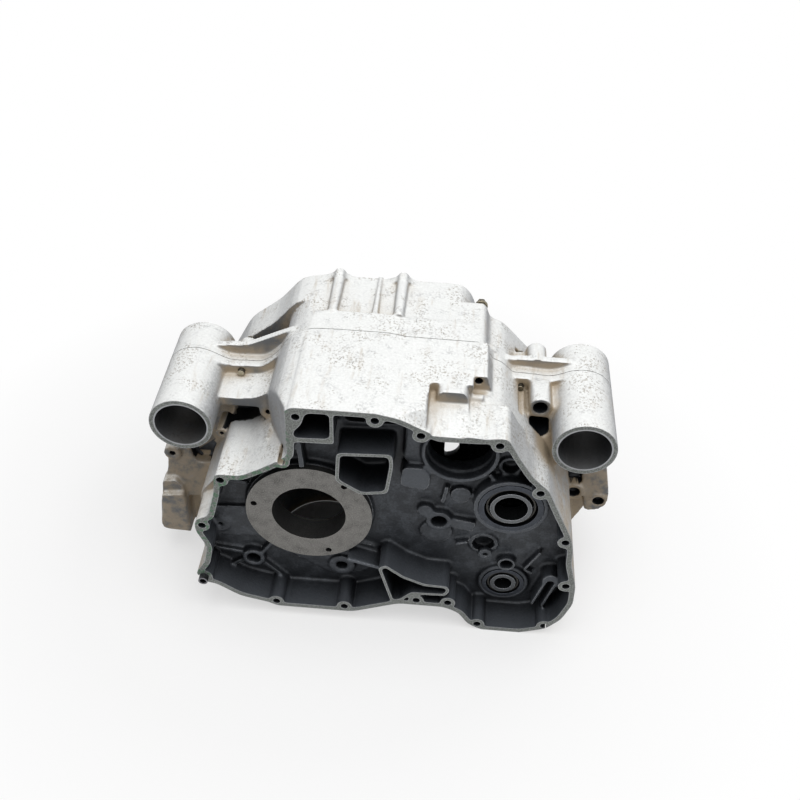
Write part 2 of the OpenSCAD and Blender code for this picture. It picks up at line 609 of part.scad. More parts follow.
module joint_gasket() {
    color("dimgray") difference() {
        union() {
            slab(rounded(core_points, 6), -split, split);
            slab(rounded(joint_points, 5), -split, split);
            rod(left_tube_x, left_tube_z, tube_r, -split, split);
            rod(right_tube_x, right_tube_z, tube_r, -split, split);
        }
        rod(0, 0, crank_room_r, -eps, eps);
        slab(rounded(gear_room_points, 8), -eps, eps);
        slab(rounded(oil_room_points, 8), -eps, eps);
        translate([-cylinder_r, -eps, -deck_z - eps])
            cube([2 * cylinder_r, 2 * eps, deck_z - crank_room_r / 2]);
        rod(left_tube_x, left_tube_z, tube_bore_r, -eps, eps);
        rod(right_tube_x, right_tube_z, tube_bore_r, -eps, eps);
        for (s = concat(short_bolts, blind_bolts, long_bolts)) rod(s[0], s[1], case_bolt_r, -eps, eps);
        for (s = dowel_places) rod(s[0], s[1], dowel_r, -eps, eps);
    }
}
// Steel flange with a sleeve, let into the crank bore of the clutch side
module crank_bearing_carrier() {
    color("rosybrown") difference() {
        union() {
            rod(0, 0, carrier_r, carrier_y, crank_seat_y);
            rod(0, 0, main_seat_r, carrier_y, room_y);
        }
        rod(0, 0, main_bore_r, carrier_y - eps, room_y + eps);
        for (a = carrier_angles) rod(carrier_pitch_r * cos(a), carrier_pitch_r * sin(a),
            carrier_hole_r, carrier_y - eps, crank_seat_y + eps);
    }
}
module crank_bearing_sleeve() {
    color("gray") difference() {
        rod(0, 0, main_seat_r, rear_room_y, rear_seat_y);
        rod(0, 0, main_bore_r, rear_room_y - eps, rear_seat_y + eps);
    }
}

function pitch_r(b) = (b[1] + b[2]) / 2;
function ball_r(b) = 0.75 * (b[2] - b[1]);
// What the balls run in: a ring with round section
module ball_track(b) {
    rotate_extrude() translate([pitch_r(b), 0]) circle(r = ball_r(b) + ball_gap);
}
module on_shaft(x, z, y0, b) {
    translate([x, y0 + b[4] / 2, z]) rotate([90, 0, 0]) children();
}
module ring(r_out, r_in, h) {
    difference() {
        cylinder(r = r_out, h = h, center = true);
        cylinder(r = r_in, h = h + 2 * eps, center = true);
    }
}
module outer_race(b) {
    color("silver") difference() {
        ring(b[3], b[2], b[4]);
        ball_track(b);
    }
}
module inner_race(b) {
    color("white") difference() {
        ring(b[1], b[0], b[4]);
        ball_track(b);
    }
}
module balls(b) {
    color("silver") for (i = [0:b[5] - 1]) rotate([0, 0, i * 360 / b[5]])
        translate([pitch_r(b), 0, 0]) sphere(r = ball_r(b));
}
module cage(b) {
    color("goldenrod") difference() {
        ring(pitch_r(b) + cage_t / 2, pitch_r(b) - cage_t / 2, 2 * (ball_r(b) + ball_gap + cage_edge));
        for (i = [0:b[5] - 1]) rotate([0, 0, i * 360 / b[5]]) translate([pitch_r(b), 0, 0])
            rotate([0, 90, 0]) cylinder(r = ball_r(b) + ball_gap, h = 3 * cage_t, center = true);
    }
}
module clutch_mainshaft() {
    on_shaft(mainshaft_x, mainshaft_z, front_main_y, main_bearing) children();
}
module clutch_layshaft() {
    on_shaft(layshaft_x, layshaft_z, front_lay_y, lay_bearing) children();
}
module generator_mainshaft() {
    on_shaft(mainshaft_x, mainshaft_z, rear_main_y, main_bearing) children();
}
module generator_layshaft() {
    on_shaft(layshaft_x, layshaft_z, rear_lay_y, lay_bearing) children();
}
module clutch_mainshaft_outer_race() { clutch_mainshaft() outer_race(main_bearing); }
module clutch_mainshaft_inner_race() { clutch_mainshaft() inner_race(main_bearing); }
module clutch_mainshaft_balls() { clutch_mainshaft() balls(main_bearing); }
module clutch_mainshaft_cage() { clutch_mainshaft() cage(main_bearing); }
module clutch_layshaft_outer_race() { clutch_layshaft() outer_race(lay_bearing); }
module clutch_layshaft_inner_race() { clutch_layshaft() inner_race(lay_bearing); }
module clutch_layshaft_balls() { clutch_layshaft() balls(lay_bearing); }
module clutch_layshaft_cage() { clutch_layshaft() cage(lay_bearing); }
module generator_mainshaft_outer_race() { generator_mainshaft() outer_race(main_bearing); }
module generator_mainshaft_inner_race() { generator_mainshaft() inner_race(main_bearing); }
module generator_mainshaft_balls() { generator_mainshaft() balls(main_bearing); }
module generator_mainshaft_cage() { generator_mainshaft() cage(main_bearing); }
module generator_layshaft_outer_race() { generator_layshaft() outer_race(lay_bearing); }
module generator_layshaft_inner_race() { generator_layshaft() inner_race(lay_bearing); }
module generator_layshaft_balls() { generator_layshaft() balls(lay_bearing); }
module generator_layshaft_cage() { generator_layshaft() cage(lay_bearing); }

// Lip seal outside the layshaft's bearing on the generator side
module layshaft_oil_seal() {
    color("black") translate([layshaft_x, seal_y + seal_t, layshaft_z]) rotate([90, 0, 0])
        rotate_extrude() polygon([
            [seal_r, 0], [seal_r + 2, 0.5], [seal_r + 2.5, 3], [lay_bearing[3] - 3, 2],
            [lay_bearing[3] - 2, 0], [lay_bearing[3], 0], [lay_bearing[3], seal_t],
            [seal_r + 4, seal_t], [seal_r + 3.5, 5], [seal_r, 4]
        ]);
}
module hollow_dowel(x, z, y0, y1) {
    difference() {
        rod(x, z, dowel_r, y0, y1);
        rod(x, z, dowel_r - dowel_wall, y0 - eps, y1 + eps);
    }
}
module cover_dowel_sleeve() {
    color("lightslategray")
        hollow_dowel(cover_dowel[0], cover_dowel[1], face_y - dowel_stand, face_y + dowel_depth);
}
module case_dowels() {
    color("lightslategray")
        for (s = dowel_places) hollow_dowel(s[0], s[1], -dowel_half, dowel_half);
}
module case_bolt(x, z, head_y, tip_y) {
    rod(x, z, case_bolt_r, tip_y, head_y + bolt_flange_t);
    rod(x, z, bolt_flange_r, head_y, head_y + bolt_flange_t);
    translate([x, head_y + bolt_head_h, z]) rotate([90, 0, 0])
        cylinder(r = bolt_head_r, h = bolt_head_h - bolt_flange_t / 2, $fn = 6);
}
module short_case_bolts() {
    color("darkgray")
        for (s = concat(short_bolts, blind_bolts)) case_bolt(s[0], s[1], short_head_y, short_tip_y);
}
module long_case_bolts() {
    color("darkgray") for (s = long_bolts) case_bolt(s[0], s[1], long_head_y, long_tip_y);
}

clutch_side_case();
generator_side_case();
joint_gasket();
crank_bearing_carrier();
crank_bearing_sleeve();
clutch_mainshaft_outer_race();
clutch_mainshaft_inner_race();
clutch_mainshaft_balls();
clutch_mainshaft_cage();
clutch_layshaft_outer_race();
clutch_layshaft_inner_race();
clutch_layshaft_balls();
clutch_layshaft_cage();
generator_mainshaft_outer_race();
generator_mainshaft_inner_race();
generator_mainshaft_balls();
generator_mainshaft_cage();
generator_layshaft_outer_race();
generator_layshaft_inner_race();
generator_layshaft_balls();
generator_layshaft_cage();
layshaft_oil_seal();
cover_dowel_sleeve();
case_dowels();
short_case_bolts();
long_case_bolts();
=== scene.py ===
"""Dresses a bare engine crankcase: cast halves with fillets and wear, bearings, stage and camera."""
import math

import bpy
import numpy as np
from bpy.props import FloatProperty, FloatVectorProperty, IntProperty, PointerProperty
from mathutils import Matrix, Vector
from mathutils.bvhtree import BVHTree


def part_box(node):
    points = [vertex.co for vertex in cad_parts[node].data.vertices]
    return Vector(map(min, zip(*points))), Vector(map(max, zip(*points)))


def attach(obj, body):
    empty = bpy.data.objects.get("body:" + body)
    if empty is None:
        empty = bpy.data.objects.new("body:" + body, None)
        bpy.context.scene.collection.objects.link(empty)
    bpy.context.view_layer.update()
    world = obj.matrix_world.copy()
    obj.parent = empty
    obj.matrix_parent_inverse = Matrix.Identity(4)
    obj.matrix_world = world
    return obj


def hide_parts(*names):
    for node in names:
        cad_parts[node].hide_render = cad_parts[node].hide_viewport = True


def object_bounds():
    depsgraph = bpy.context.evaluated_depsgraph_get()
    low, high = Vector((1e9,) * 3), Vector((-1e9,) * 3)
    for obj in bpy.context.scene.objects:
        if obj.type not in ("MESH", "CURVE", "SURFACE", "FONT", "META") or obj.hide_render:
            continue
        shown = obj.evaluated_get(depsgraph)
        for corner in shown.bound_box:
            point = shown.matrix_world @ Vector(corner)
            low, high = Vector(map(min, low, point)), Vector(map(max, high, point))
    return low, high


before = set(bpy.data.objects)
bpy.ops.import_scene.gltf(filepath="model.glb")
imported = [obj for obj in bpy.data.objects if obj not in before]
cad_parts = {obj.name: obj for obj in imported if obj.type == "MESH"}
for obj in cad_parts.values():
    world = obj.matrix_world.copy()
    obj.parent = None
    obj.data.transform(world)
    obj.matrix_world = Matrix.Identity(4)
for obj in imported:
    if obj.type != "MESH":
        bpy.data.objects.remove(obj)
cad_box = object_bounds()

bl_info = {
    "name": "Bare engine crankcase",
    "version": (1, 0, 0),
    "blender": (4, 5, 0),
    "location": "View3D > Sidebar > Crankcase",
    "description": "Cast halves, bearings and small parts of a stripped crankcase, with their wear",
    "category": "Object",
}

BEARINGS = ("clutch_mainshaft", "clutch_layshaft", "generator_mainshaft", "generator_layshaft")
TUBES = ((-0.112, 0.087), (0.239, 0.092))
COVER_SCREWS = ((-0.004, 0.137), (0.061, 0.139), (0.099, 0.126), (0.164, 0.121), (0.203, 0.069),
                (0.232, 0.009), (0.240, -0.051), (0.227, -0.113), (0.163, -0.118), (0.133, -0.089),
                (0.103, -0.089), (0.034, -0.107), (-0.032, -0.107), (-0.095, -0.005),
                (-0.073, 0.056), (-0.018, 0.084))


def length(name, about, default):
    return FloatProperty(name=name, description=about, default=default, min=0.0, unit="LENGTH")


def colour(name, about, default):
    return FloatVectorProperty(name=name, description=about, default=default, size=3, min=0.0,
                               max=1.0, subtype="COLOR")


class CrankcaseSizes(bpy.types.PropertyGroup):
    """Sizes of the cast skin."""
    grain: length("Grain", "Size of the cells that the cast skin is rebuilt from", 0.0013)
    spare: length("Spare", "How far faces stand proud before they are milled off", 0.003)
    passes: IntProperty(name="Passes", description="How often the cast skin is softened", default=5,
                        min=0, max=30)
    faces: IntProperty(name="Faces", description="Most triangles in the skin of one half",
                       default=165000, min=20000, max=190000)
    mouth: length("Mouth", "Radius that the mouths of the cover's screw holes are worn to", 0.0036)


class CrankcaseColours(bpy.types.PropertyGroup):
    """Colours of the metals, the oil, the stains, and the painted light and shade."""
    # pale is painted light: faces turned up are made lighter, as the lamp overhead lights them.
    pale: colour("Pale", "Bleached aluminium that faces up", (0.82, 0.83, 0.82))
    grey: colour("Grey", "Aluminium of the outer sides", (0.38, 0.39, 0.405))
    # shade is painted shade: faces turned towards the clutch cover, away from the overhead lamp, are made
    # dark.
    shade: colour("Shade", "Grimy aluminium that faces the clutch cover", (0.10, 0.105, 0.11))
    tan: colour("Tan", "Baked dirt in the corners", (0.38, 0.30, 0.20))
    pit: colour("Pit", "Dark specks in the skin", (0.10, 0.09, 0.08))
    # The rim tone and the dark tone after it are the oily walls of the rooms: lighter near the cover's
    # face, and darker deeper in from oil and painted shade.
    rim: colour("Rim", "Oily walls close to the cover's face", (0.095, 0.105, 0.12))
    oil_and_shade: colour("Oil", "Oil on the floors of the rooms", (0.006, 0.007, 0.009))
    machined: colour("Machined", "Milled faces", (0.17, 0.18, 0.17))
    steel: colour("Steel", "Stained steel of the carrier", (0.17, 0.165, 0.155))
    bright: colour("Bright", "Ground steel of the inner races", (0.10, 0.105, 0.11))
    dull: colour("Dull", "Oily steel of the outer races", (0.045, 0.05, 0.06))
    gasket: colour("Gasket", "Green remains of the cover's gasket", (0.035, 0.14, 0.06))


class CrankcaseStage(bpy.types.PropertyGroup):
    """The camera, the floor and the lamps."""
    place: FloatVectorProperty(name="Camera", description="Where the camera stands", subtype="TRANSLATION",
                               unit="LENGTH", default=(0.11480, -0.72606, 0.71162))
    yaw: FloatProperty(name="Yaw", description="Turn to the right", subtype="ANGLE",
                       default=math.radians(-3.141))
    pitch: FloatProperty(name="Pitch", description="Tilt down", subtype="ANGLE",
                         default=math.radians(41.470))
    roll: FloatProperty(name="Roll", description="Lean", subtype="ANGLE", default=math.radians(-2.031))
    lens: FloatProperty(name="Lens", description="Focal length in millimetres", default=46.956, min=1.0)
    floor: length("Floor", "Side of the floor", 12.0)
    sky: FloatProperty(name="Sky", description="Strength of the light from all round", default=0.40)
    lamp: FloatProperty(name="Lamp", description="Power of the lamp overhead in watts", default=25.0)
    fill: FloatProperty(name="Fill", description="Power of the lamp in front in watts", default=1.0)


class Wire:
    """A socket in a material. Operators on it add Math nodes to that material."""

    def __init__(self, finish, socket):
        self.finish = finish
        self.socket = socket

    def __add__(self, other):
        return self.finish.maths("ADD", self, other)

    def __sub__(self, other):
        return self.finish.maths("SUBTRACT", self, other)

    def __rsub__(self, other):
        return self.finish.maths("SUBTRACT", other, self)

    def __mul__(self, other):
        return self.finish.maths("MULTIPLY", self, other)

    def __truediv__(self, other):
        return self.finish.maths("DIVIDE", self, other)

    __radd__ = __add__
    __rmul__ = __mul__

    def steps(self, low, high):
        """Rises smoothly from 0 at low to 1 at high."""
        return self.finish.node("ShaderNodeMapRange", {"interpolation_type": "SMOOTHSTEP"},
                                {"Value": self, "From Min": low, "From Max": high})

    def least(self, other):
        return self.finish.maths("MINIMUM", self, other)

    def most(self, other):
        return self.finish.maths("MAXIMUM", self, other)


class Finish:
    """A material and the nodes that it is made of."""

    def __init__(self, name):
        self.material = bpy.data.materials.new(name)
        self.material.use_nodes = True
        self.tree = self.material.node_tree
        self.shader = self.tree.nodes["Principled BSDF"]
        self.where = self.node("ShaderNodeTexCoord", output="Object")

    def node(self, kind, settings=None, sockets=None, output=0):
        made = self.tree.nodes.new(kind)
        for name, value in (settings or {}).items():
            setattr(made, name, value)
        for name, value in (sockets or {}).items():
            self.plug(made.inputs[name], value)
        return Wire(self, made.outputs[output])

    def plug(self, socket, value):
        if isinstance(value, Wire):
            self.tree.links.new(value.socket, socket)
        else:
            socket.default_value = value

    def maths(self, operation, *values):
        return self.node("ShaderNodeMath", {"operation": operation}, dict(enumerate(values)))

    def axis(self, letter):
        """The place along one axis, in metres."""
        return self.node("ShaderNodeSeparateXYZ", {}, {0: self.where}, letter)

    def facing(self, letter):
        """How far the surface faces along one axis, from -1 to 1."""
        normal = self.node("ShaderNodeNewGeometry", output="Normal")
        return self.node("ShaderNodeSeparateXYZ", {}, {0: normal}, letter)

    def off_axis(self, x, z):
        """The distance from an axis along Y, in metres."""
        across, height = self.axis("X") - x, self.axis("Z") - z
        return self.maths("SQRT", across * across + height * height)

    def noise(self, size, detail=3.0, rough=0.55, stretch=(1.0, 1.0, 1.0)):
        """Clouds with blobs of about the given size in metres, from 0 to 1."""
        place = self.node("ShaderNodeMapping", {}, {"Vector": self.where, "Scale": stretch})
        return self.node("ShaderNodeTexNoise", {}, {"Vector": place, "Scale": 1.0 / size,
                                                    "Detail": detail, "Roughness": rough})

    def specks(self, size, share):
        """Round specks in cells of the given size; share is how much of a cell's width each fills."""
        cells = self.node("ShaderNodeTexVoronoi", {}, {"Vector": self.where, "Scale": 1.0 / size,
                                                       "Randomness": 1.0}, "Distance")
        return 1.0 - cells.steps(0.5 * share, share)

    def mix(self, mask, first, second):
        """A colour that goes from first to second as the mask goes from 0 to 1."""
        made = self.tree.nodes.new("ShaderNodeMix")
        made.data_type = "RGBA"
        for index, value in ((0, mask), (6, first), (7, second)):
            self.plug(made.inputs[index], value)
        return Wire(self, made.outputs[2])

    def bump(self, height, depth, radius=0.0):
        """A normal with height as a relief of the given depth, over edges rounded to a radius."""
        sockets = {"Height": height, "Distance": depth, "Strength": 1.0}
        if radius:
            sockets["Normal"] = self.node("ShaderNodeBevel", {"samples": 4}, {"Radius": radius})
        return self.node("ShaderNodeBump", {}, sockets)

    def wear(self, radius):
        """1 where an edge lies within the radius, and 0 on open faces."""
        soft = self.node("ShaderNodeBevel", {"samples": 4}, {"Radius": radius})
        flat = self.node("ShaderNodeNewGeometry", output="Normal")
        same = self.node("ShaderNodeVectorMath", {"operation": "DOT_PRODUCT"}, {0: soft, 1: flat},
                         "Value")
        return (1.0 - same).steps(0.02, 0.25)

    def crease(self, reach):
        """1 deep in a corner, and 0 in the open."""
        open_sky = self.node("ShaderNodeAmbientOcclusion", {"samples": 6}, {"Distance": reach}, "AO")
        return 1.0 - open_sky

    def done(self, **sockets):
        for name, value in sockets.items():
            self.plug(self.shader.inputs[name.replace("_", " ")], value)
        return self.material


def rgba(values):
    return (*values, 1.0)


def colours():
    return bpy.context.scene.crankcase_colours


def cast_finish():
    """Weathered cast aluminium: painted lighter on top as if lit from above, painted shade on the sides
    that face the cover and under overhangs, tan in the corners, oily and darkened with painted shade in
    the rooms.
    """
    tones = colours()
    f = Finish("weathered_casting")
    inside = f.node("ShaderNodeAttribute", {"attribute_name": "inside"}, output="Fac")
    milled = f.node("ShaderNodeAttribute", {"attribute_name": "milled"}, output="Fac")
    up = f.facing("Z").steps(0.25, 0.97)
    front = (0.0 - f.facing("Y")).steps(0.15, 0.75)
    cloud = f.noise(0.045)
    blotch = f.noise(0.012, detail=5.0, rough=0.6)
    grain = f.noise(0.0022, detail=4.0, rough=0.65)
    drawn = f.noise(0.006, detail=4.0, rough=0.6, stretch=(1.0, 0.14, 1.0))
    corner = f.crease(0.018)
    edges = f.wear(0.0016)
    open_to_light = 1.0 - f.crease(0.07).steps(0.30, 0.80)
    # Painted light: faces turned up blend from the grey tone to the pale tone.
    skin = f.mix(up, rgba(tones.grey), rgba(tones.pale))
    # Painted shade: the outer skin goes darker grey where overhangs and walls keep the light off.
    skin = f.mix((1.0 - open_to_light) * 0.8, skin, rgba([0.45 * c for c in tones.grey]))
    skin = f.mix(grain.steps(0.35, 0.62) * (1.0 - up * 0.75) * 0.4, skin,
                 rgba([0.5 * c for c in tones.grey]))
    # Painted shade on faces turned towards -Y, away from the light.
    skin = f.mix(front * (1.0 - up) * 0.95, skin, rgba(tones.shade))
    flank = f.maths("ABSOLUTE", f.axis("X") - 0.06).steps(0.145, 0.170)
    flank = flank * (0.075 - f.axis("Z")).steps(0.0, 0.02)
    skin = f.mix(flank * blotch.steps(0.32, 0.58) * 0.6, skin, rgba(tones.tan))
    skin = f.mix(blotch.steps(0.48, 0.75) * grain.steps(0.4, 0.6) * 0.45, skin,
                 rgba([0.62 * c for c in tones.grey]))
    skin = f.mix((corner.steps(0.10, 0.45) * cloud.steps(0.3, 0.5) * 0.95).least(0.85), skin,
                 rgba(tones.tan))
    stain = drawn.steps(0.52, 0.74) * cloud.steps(0.42, 0.62) * 0.45
    skin = f.mix(stain, skin, rgba(tones.tan))
    cluster = f.noise(0.028, detail=3.0).steps(0.48, 0.62)
    pits = grain.steps(0.54, 0.60) * cluster
    skin = f.mix(pits * 0.55, skin, rgba([0.6 * c for c in tones.tan]))
    scratch = f.noise(0.0016, detail=2.0, stretch=(1.0, 0.3, 1.0)).steps(0.66, 0.72)
    skin = f.mix(scratch * cluster * 0.75, skin, rgba(tones.pit))
    chips = edges * f.noise(0.005, detail=3.0).steps(0.52, 0.62) * 0.7
    skin = f.mix(chips, skin, rgba([0.5 * c for c in tones.tan]))
    # Oil with painted shade: the walls of the rooms darken from the rim tone to the dark tone deeper along
    # Y and where walls keep the light off.
    depth = (f.axis("Y") - (cad_box[0].y + 0.006)).steps(0.0, 0.034)
    deep = depth.most(1.0 - open_to_light) + blotch.steps(0.45, 0.75) * 0.3
    room_oil_and_shade = f.mix(deep.least(1.0), rgba(tones.rim), rgba(tones.oil_and_shade))
    # Painted light: walls in the rooms that are open to the light go patchily back to the lighter rim
    # tone.
    patchy_light = (0.4 + blotch.steps(0.40, 0.66) * 0.6) * (0.6 + grain.steps(0.35, 0.65) * 0.4)
    room_oil_and_shade = f.mix(open_to_light * patchy_light * 0.75, room_oil_and_shade, rgba(tones.rim))
    # Edge wear and painted highlight: edges in the rooms go lighter grey, more so where light reaches
    # them.
    room_oil_and_shade = f.mix(edges * (0.35 + open_to_light * 0.6), room_oil_and_shade, rgba(tones.grey))
    # Walled-in faces take the oily finish of the rooms with its painted shade.
    paint = f.mix(inside, skin, room_oil_and_shade)
    speck = f.mix(f.noise(0.0012, detail=2.0).steps(0.35, 0.7), rgba([0.6 * c for c in tones.machined]),
                  rgba([1.5 * c for c in tones.machined]))
    speck = f.mix(edges * 0.9, speck, rgba([1.3 * c for c in tones.grey]))
    glued = (0.0 - f.axis("X")).steps(0.008, 0.014) * f.axis("Z").steps(-0.08, -0.07)
    glued = glued * f.noise(0.004, detail=3.0).steps(0.48, 0.58) * (1.0 - depth) * front
    speck = f.mix(glued * 0.6, speck, rgba(tones.gasket))
    for tube in TUBES:
        mouth = 1.0 - f.off_axis(*tube).steps(0.0238, 0.0246)
        speck = f.mix(mouth, speck, rgba(tones.grey))
    paint = f.mix(milled, paint, speck)
    # Painted shade: the deepest corners of the cast faces go nearly black.
    paint = f.mix(corner.steps(0.80, 0.93) * (1.0 - milled), paint, rgba([0.5 * c for c in tones.oil_and_shade]))
    relief = grain * 0.6 + blotch * 0.4
    return f.done(Base_Color=paint, Metallic=inside * 0.3 + 0.15,
                  Roughness=(0.62 - inside * 0.24 + blotch * 0.12),
                  Normal=f.bump(relief, 0.0006))


def steel_finish(name, tone, rough, dirt, metallic=0.8, glint=2.0):
    """Steel with fine scratches, blotches of oil, painted shade on its sides and in its corners, and edges
    that are glint times as bright: edge wear and a painted highlight.
    """
    tones = colours()
    f = Finish(name)
    blotch = f.noise(0.009, detail=4.0)
    fine = f.noise(0.0011, detail=2.0)
    paint = f.mix(blotch.steps(0.4, 0.75) * dirt, rgba(tone), rgba([0.4 * c for c in tone]))
    paint = f.mix(fine.steps(0.42, 0.68) * 0.6, paint, rgba([min(1.0, 1.8 * c) for c in tone]))
    # Painted shade: faces turned across Y, such as bore walls, and corners go to the dark oil tone.
    side = 1.0 - f.maths("ABSOLUTE", f.facing("Y")).steps(0.3, 0.8)
    paint = f.mix((side * 0.8).most(f.crease(0.03).steps(0.45, 0.8) * 0.9), paint, rgba(tones.oil_and_shade))
    # Painted highlight with edge wear: edges are made glint times as bright.
    paint = f.mix(f.wear(0.0008) * 0.8, paint, rgba([min(1.0, glint * c) for c in tone]))
    return f.done(Base_Color=paint, Metallic=metallic, Roughness=rough + blotch * 0.2,
                  Normal=f.bump(fine, 0.0002, 0.0005))


def soft_finish(name, tone, rough):
    """Rubber or gasket paper, with a fine grain."""
    f = Finish(name)
    grain = f.noise(0.0015)
    paint = f.mix(grain.steps(0.3, 0.7), rgba(tone), rgba([1.7 * c for c in tone]))
    return f.done(Base_Color=paint, Roughness=rough + grain * 0.15, Normal=f.bump(grain, 0.0002, 0.0003))


def dress(node, material):
    """Gives a node of the frame its finish."""
    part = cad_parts[node]
    part.data.materials.clear()
    part.data.materials.append(material)


def pick(part):
    """Selects one object alone, in object mode."""
    if bpy.context.object and bpy.context.object.mode != "OBJECT":
        bpy.ops.object.mode_set(mode="OBJECT")
    bpy.ops.object.select_all(action="DESELECT")
    part.select_set(True)
    bpy.context.view_layer.objects.active = part


def modify(part, kind, **settings):
    """Adds a modifier with these settings and applies it."""
    pick(part)
    made = part.modifiers.new(kind.lower(), kind)
    for name, value in settings.items():
        setattr(made, name, value)
    bpy.ops.object.modifier_apply(modifier=made.name)


def copy_of(node, name):
    """A copy of a node with its loose triangles merged."""
    made = bpy.data.objects.new(name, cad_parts[node].data.copy())
    bpy.context.scene.collection.objects.link(made)
    pick(made)
    bpy.ops.object.mode_set(mode="EDIT")
    bpy.ops.mesh.select_all(action="SELECT")
    bpy.ops.mesh.remove_doubles(threshold=0.00001)
    bpy.ops.object.mode_set(mode="OBJECT")
    made.data.materials.clear()
    return made


def corners(mesh):
    found = np.empty(len(mesh.vertices) * 3, np.float32)
    mesh.vertices.foreach_get("co", found)
    return found.reshape(-1, 3)


def centres(mesh):
    found = np.empty(len(mesh.polygons) * 3, np.float32)
    mesh.polygons.foreach_get("center", found)
    return found.reshape(-1, 3)


def normals(mesh):
    found = np.empty(len(mesh.polygons) * 3, np.float32)
    mesh.polygons.foreach_get("normal", found)
    return found.reshape(-1, 3)


def save(mesh, name, values):
    """Keeps one number for each face, for the finish to read."""
    layer = mesh.attributes.new(name, "FLOAT", "FACE")
    layer.data.foreach_set("value", np.asarray(values, np.float32))


def evened(mesh, values, milled, passes=2):
    """Values of the cast faces, with single faces that differ from all round brought into line."""
    ring = np.empty(len(mesh.polygons) * 3, np.int32)
    mesh.polygons.foreach_get("vertices", ring)
    ring = ring.reshape(-1, 3)
    area = np.empty(len(mesh.polygons), np.float32)
    mesh.polygons.foreach_get("area", area)
    area = area * (1.0 - milled)
    weight = np.bincount(ring.ravel(), np.repeat(area, 3), len(mesh.vertices)) + 1e-12
    for _ in range(passes):
        total = np.bincount(ring.ravel(), np.repeat(area * values, 3), len(mesh.vertices))
        values = (total / weight)[ring].mean(axis=1)
        values = np.clip((values - 0.3) / 0.4, 0.0, 1.0)
    return values


def walled_in(mesh, skin, milled, gaps, ways=11):
    """For each face, 1 if walls stand all round it in the plane across the crankshaft, or else 0.

    So many ways may be open."""
    tree = BVHTree.FromPolygons([v.co for v in skin.vertices], [p.vertices for p in skin.polygons])
    turns = [2 * math.pi * (k + 0.3) / ways for k in range(ways)]
    rays = [Vector((math.cos(a), 0.0, math.sin(a))) for a in turns]
    found = np.empty(len(mesh.polygons))
    for index, (centre, normal) in enumerate(zip(centres(mesh), normals(mesh))):
        start = Vector(centre) + Vector(normal) * 0.002
        missed = 0
        for ray in rays:
            missed += tree.ray_cast(start, ray, 0.6)[0] is None
            if missed > gaps:
                break
        found[index] = missed <= gaps
    return evened(mesh, found, milled)


def near_axes(mesh, axes, reach):
    """For each face, 1 if it lies closer than reach to one of the axes along Y, or else 0."""
    middle = centres(mesh)
    found = np.zeros(len(middle))
    for x, z in axes:
        found[np.hypot(middle[:, 0] - x, middle[:, 2] - z) < reach] = 1.0
    return found


def milled_faces(mesh, cuts):
    """For each face, 1 if it lies in the plane of one of these cuts, or else 0."""
    middle, facing = centres(mesh), normals(mesh)
    found = np.zeros(len(middle))
    for cut in cuts:
        level = abs(middle[:, cut["axis"]] - cut["place"]) < 0.0003
        found[level & (abs(facing[:, cut["axis"]]) > 0.97)] = 1.0
    return found


def stand_proud(mesh, cuts, spare):
    """Moves the points of the faces that are milled later outwards."""
    place = corners(mesh)
    for cut in cuts:
        level = abs(place[:, cut["axis"]] - cut["place"]) < 0.00002
        place[level, cut["axis"]] += cut["way"] * spare
    mesh.vertices.foreach_set("co", place.ravel())
    mesh.update()


def mill(piece, cut, spare):
    """Cuts off what stands out beyond the plane of a cut, in its round or over all of the piece."""
    reach = 2.5 * spare
    middle = [0.05, 0.0, 0.0]
    if cut["round"]:
        middle = [cut["round"][0], 0.0, cut["round"][1]]
    middle[cut["axis"]] = cut["place"] + cut["way"] * reach
    bpy.ops.object.select_all(action="DESELECT")
    if cut["round"]:
        bpy.ops.mesh.primitive_cylinder_add(vertices=48, radius=cut["round"][2], depth=2 * reach,
                                            location=middle, rotation=(math.pi / 2, 0.0, 0.0))
    else:
        bpy.ops.mesh.primitive_cube_add(size=1.0, location=middle)
        size = [0.8, 0.8, 0.8]
        size[cut["axis"]] = 2 * reach
        bpy.context.object.scale = size
    tool = bpy.context.object
    bpy.ops.object.transform_apply(location=True, rotation=True, scale=True)
    modify(piece, "BOOLEAN", operation="DIFFERENCE", solver="MANIFOLD", object=tool)
    bpy.data.objects.remove(tool)


def open_mouths(piece, screws, radius, face_y, depth=0.012):
    """Widens the mouths of screw holes in a face across Y."""
    bpy.ops.object.select_all(action="DESELECT")
    tools = []
    for x, z in screws:
        bpy.ops.mesh.primitive_cylinder_add(vertices=32, radius=radius, depth=2 * depth,
                                            location=(x, face_y, z), rotation=(math.pi / 2, 0.0, 0.0))
        tools.append(bpy.context.object)
    for tool in tools:
        tool.select_set(True)
    bpy.ops.object.join()
    tool = bpy.context.object
    bpy.ops.object.transform_apply(location=True, rotation=True, scale=True)
    modify(piece, "BOOLEAN", operation="DIFFERENCE", solver="MANIFOLD", object=tool)
    bpy.data.objects.remove(tool)


def cut(axis, place, way, round_=None):
    """A plane to mill to: its axis, its place on it, which way is outwards, and an optional round."""
    return {"axis": axis, "place": place, "way": way, "round": round_}


